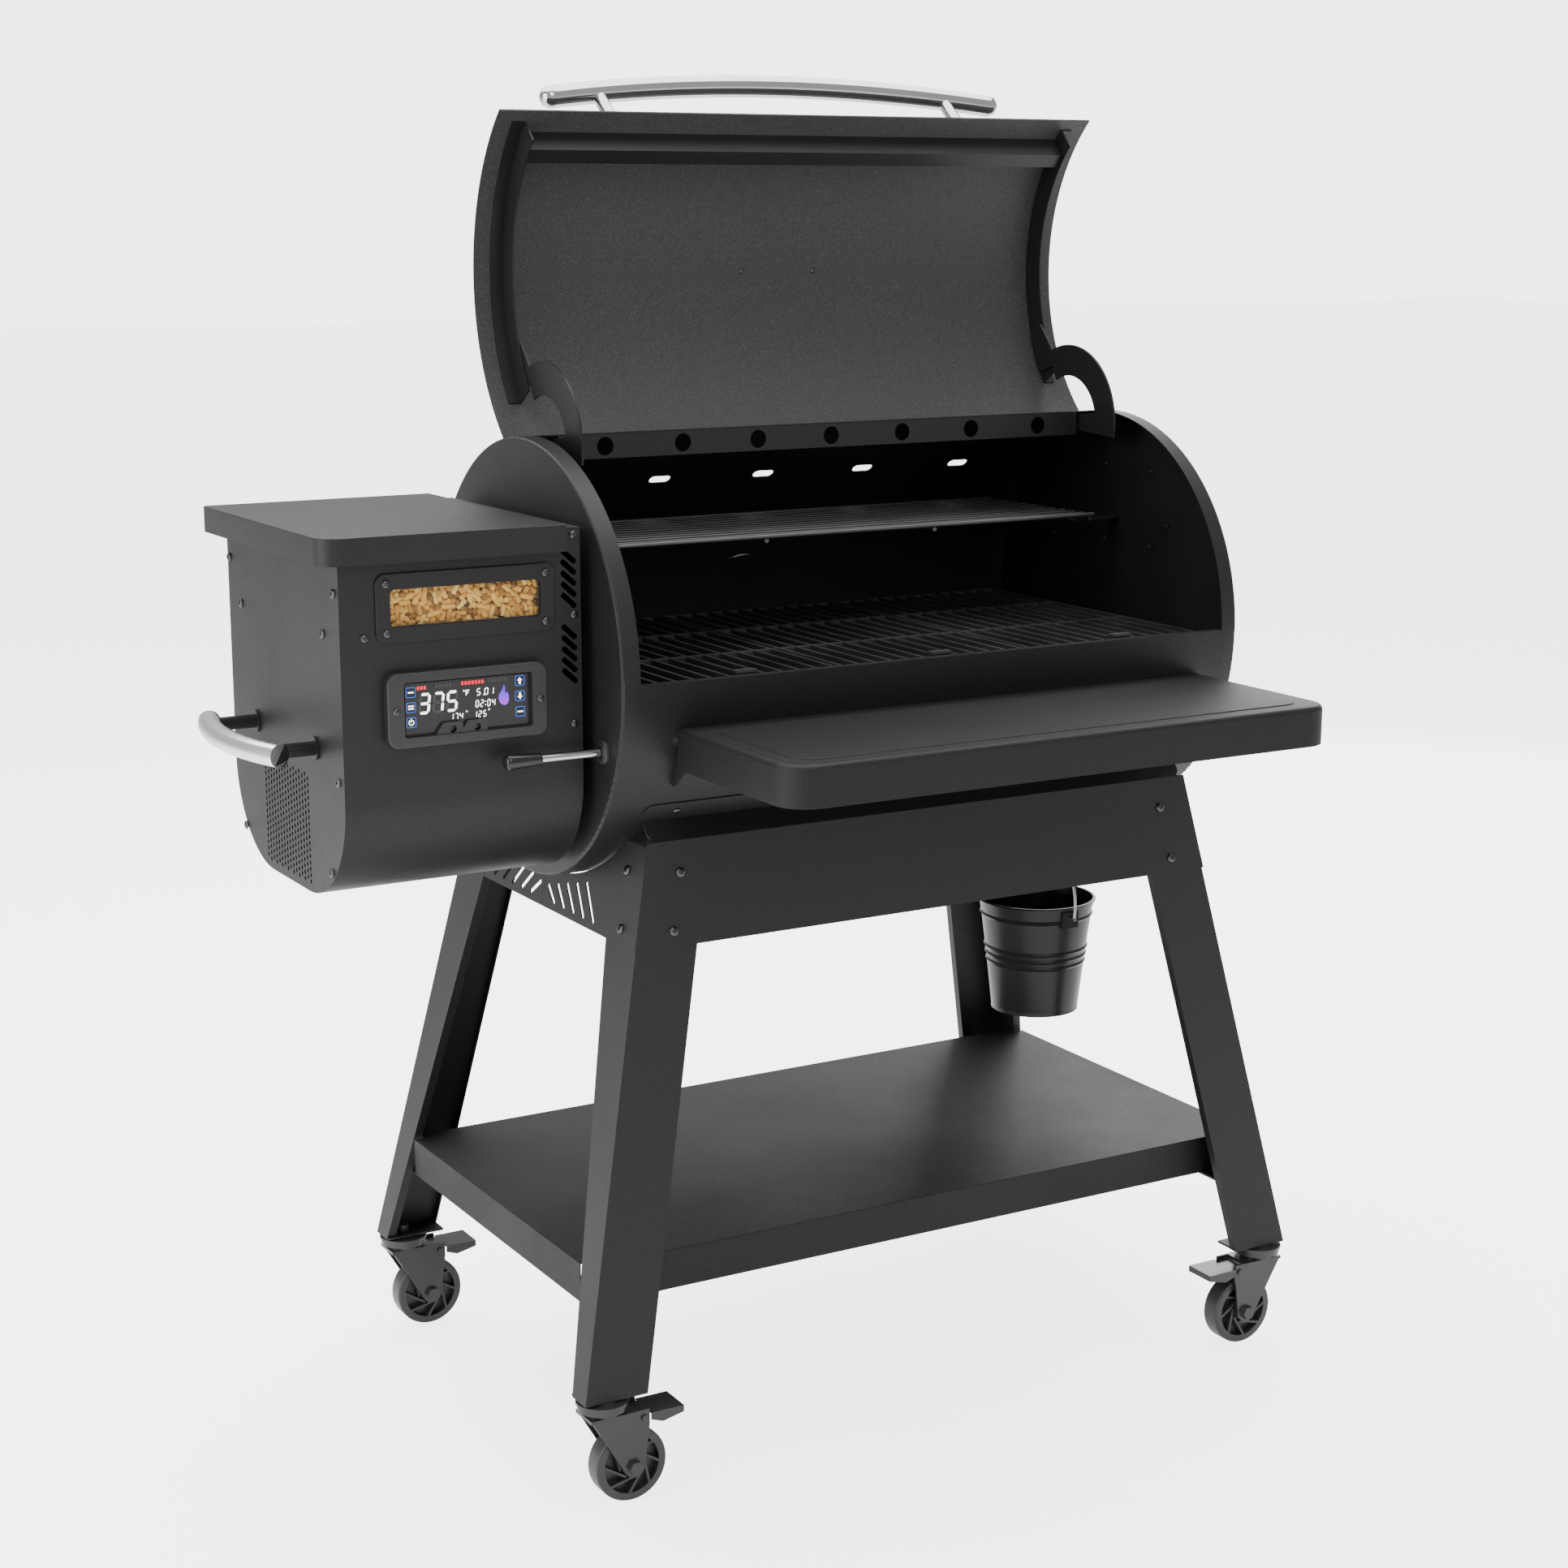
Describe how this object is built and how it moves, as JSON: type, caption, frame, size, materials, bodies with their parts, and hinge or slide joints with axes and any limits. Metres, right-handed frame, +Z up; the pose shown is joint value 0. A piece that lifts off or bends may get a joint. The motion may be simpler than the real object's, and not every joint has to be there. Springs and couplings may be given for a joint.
{
  "type": "pellet smoker grill",
  "caption": "Barrel pellet smoker on a wheeled cart with a hinged lid, side hopper with controller, folding front shelf, lower shelf and hanging grease bucket.",
  "frame": {"origin": "on the floor under the middle of the bounding box, lid open", "axes": "+X along the barrel towards the end away from the hopper, -Y towards the cook, +Z up"},
  "size_m": [1.329, 0.854, 1.6298],
  "materials": {
    "black_powder_coat": "matte, fine orange peel",
    "chamber_enamel": "matte, heat-darkened",
    "cast_grate": "seasoned, satin",
    "plated_wire": "satin",
    "polished_steel": "polished",
    "zinc_steel": "satin",
    "black_plastic": "satin",
    "display_glass": "gloss",
    "clear_glass": "clear",
    "wood_pellets": "raw",
    "wheel_rubber": "satin",
    "black_rubber": "matte",
    "black_steel": "satin"
  },
  "bodies": {
    "frame": {"apron_front": "black_powder_coat", "apron_left": "black_powder_coat", "apron_rear": "black_powder_coat", "apron_right": "black_powder_coat", "auger_motor": "zinc_steel", "barrel_shell": "black_powder_coat", "burn_pot": "zinc_steel", "chamber_supports": "chamber_enamel", "control_bezel": "black_plastic", "control_display": "display_glass", "cooking_grates": "cast_grate", "drain_spout": "black_steel", "end_cap_left": "black_powder_coat", "end_cap_right": "black_powder_coat", "fan_housing": "zinc_steel", "flame_broiler": "chamber_enamel", "hinge_strip": "black_powder_coat", "hopper_bin": "zinc_steel", "hopper_guard": "zinc_steel", "hopper_left_panel": "black_powder_coat", "hopper_right_panel": "black_powder_coat", "hopper_wrap": "black_powder_coat", "leg_front_left": "black_powder_coat", "leg_front_right": "black_powder_coat", "leg_rear_left": "black_powder_coat", "leg_rear_right": "black_powder_coat", "lower_shelf": "black_powder_coat", "pellet_load": "wood_pellets", "power_inlet": "black_plastic", "screws": "black_steel", "shelf_brackets": "black_powder_coat", "side_handle": "polished_steel", "upper_rack": "plated_wire", "window_frame": "black_powder_coat", "window_glass": "clear_glass"},
    "lid": {"lid_skin": "black_powder_coat", "lid_frame": "black_powder_coat", "lid_hinge_arms": "black_powder_coat", "lid_handle": "polished_steel"},
    "hopper_cover": {"hopper_lid": "black_powder_coat"},
    "flame_slider": {"lever_rod": "polished_steel", "lever_grip": "black_plastic", "slider_plate": "chamber_enamel"},
    "folding_shelf": {"front_shelf": "black_powder_coat"},
    "bail": {"bucket_bail": "black_steel"},
    "bucket": {"bucket": "black_steel"},
    "fan_wheel": {"fan_impeller": "zinc_steel"},
    "feed_screw": {"auger_screw": "zinc_steel"},
    "swivel_front_left": {"caster_front_left_fork": "black_steel"},
    "wheel_front_left": {"caster_front_left_wheel": "wheel_rubber"},
    "brake_front_left": {"caster_front_left_pedal": "black_steel"},
    "swivel_front_right": {"caster_front_right_fork": "black_steel"},
    "wheel_front_right": {"caster_front_right_wheel": "wheel_rubber"},
    "brake_front_right": {"caster_front_right_pedal": "black_steel"},
    "swivel_rear_left": {"caster_rear_left_fork": "black_steel"},
    "wheel_rear_left": {"caster_rear_left_wheel": "wheel_rubber"},
    "brake_rear_left": {"caster_rear_left_pedal": "black_steel"},
    "swivel_rear_right": {"caster_rear_right_fork": "black_steel"},
    "wheel_rear_right": {"caster_rear_right_wheel": "wheel_rubber"},
    "brake_rear_right": {"caster_rear_right_pedal": "black_steel"}
  },
  "joints": [
    {"name": "lid_hinge", "type": "hinge", "parent": "frame", "child": "lid", "pos_m": [0.1515, 0.1208, 1.1906], "axis": [1, 0, 0], "range_deg": [0, 133.5]},
    {"name": "hopper_cover_hinge", "type": "hinge", "parent": "frame", "child": "hopper_cover", "pos_m": [-0.4585, 0.2565, 1.1], "axis": [-1, 0, 0], "range_deg": [0, 95]},
    {"name": "flame_slide", "type": "slide", "parent": "frame", "child": "flame_slider", "axis": [1, 0, 0], "range_m": [0, 0.066]},
    {"name": "shelf_fold", "type": "hinge", "parent": "frame", "child": "folding_shelf", "pos_m": [0.1595, -0.177, 0.858], "axis": [1, 0, 0], "range_deg": [0, 90]},
    {"name": "bail_swing", "type": "hinge", "parent": "frame", "child": "bail", "pos_m": [0.4695, 0.085, 0.652], "axis": [0, 1, 0], "range_deg": [-12, 12]},
    {"name": "bucket_tilt", "type": "hinge", "parent": "bail", "child": "bucket", "pos_m": [0.4695, 0.085, 0.546], "axis": [0, 1, 0], "range_deg": [-25, 25]},
    {"name": "fan_spin", "type": "hinge", "parent": "frame", "child": "fan_wheel", "pos_m": [-0.5385, 0.005, 0.79], "axis": [1, 0, 0], "continuous": true},
    {"name": "feed_spin", "type": "hinge", "parent": "frame", "child": "feed_screw", "pos_m": [-0.2885, 0.125, 0.779], "axis": [1, 0, 0], "continuous": true},
    {"name": "swivel_turn_front_left", "type": "hinge", "parent": "frame", "child": "swivel_front_left", "pos_m": [-0.3305, -0.2, 0.121], "axis": [0, 0, 1], "continuous": true},
    {"name": "wheel_roll_front_left", "type": "hinge", "parent": "swivel_front_left", "child": "wheel_front_left", "pos_m": [-0.2995, -0.2, 0.045], "axis": [0, 1, 0], "continuous": true},
    {"name": "brake_press_front_left", "type": "hinge", "parent": "swivel_front_left", "child": "brake_front_left", "pos_m": [-0.2865, -0.2, 0.103], "axis": [0, 1, 0], "range_deg": [0, 12]},
    {"name": "swivel_turn_front_right", "type": "hinge", "parent": "frame", "child": "swivel_front_right", "pos_m": [0.6335, -0.2, 0.121], "axis": [0, 0, 1], "continuous": true},
    {"name": "wheel_roll_front_right", "type": "hinge", "parent": "swivel_front_right", "child": "wheel_front_right", "pos_m": [0.6025, -0.2, 0.045], "axis": [0, 1, 0], "continuous": true},
    {"name": "brake_press_front_right", "type": "hinge", "parent": "swivel_front_right", "child": "brake_front_right", "pos_m": [0.5895, -0.2, 0.103], "axis": [0, -1, 0], "range_deg": [0, 12]},
    {"name": "swivel_turn_rear_left", "type": "hinge", "parent": "frame", "child": "swivel_rear_left", "pos_m": [-0.3305, 0.396, 0.121], "axis": [0, 0, 1], "continuous": true},
    {"name": "wheel_roll_rear_left", "type": "hinge", "parent": "swivel_rear_left", "child": "wheel_rear_left", "pos_m": [-0.2995, 0.396, 0.045], "axis": [0, 1, 0], "continuous": true},
    {"name": "brake_press_rear_left", "type": "hinge", "parent": "swivel_rear_left", "child": "brake_rear_left", "pos_m": [-0.2865, 0.396, 0.103], "axis": [0, 1, 0], "range_deg": [0, 12]},
    {"name": "swivel_turn_rear_right", "type": "hinge", "parent": "frame", "child": "swivel_rear_right", "pos_m": [0.6335, 0.396, 0.121], "axis": [0, 0, 1], "continuous": true},
    {"name": "wheel_roll_rear_right", "type": "hinge", "parent": "swivel_rear_right", "child": "wheel_rear_right", "pos_m": [0.6025, 0.396, 0.045], "axis": [0, 1, 0], "continuous": true},
    {"name": "brake_press_rear_right", "type": "hinge", "parent": "swivel_rear_right", "child": "brake_rear_right", "pos_m": [0.5895, 0.396, 0.103], "axis": [0, -1, 0], "range_deg": [0, 12]}
  ]
}
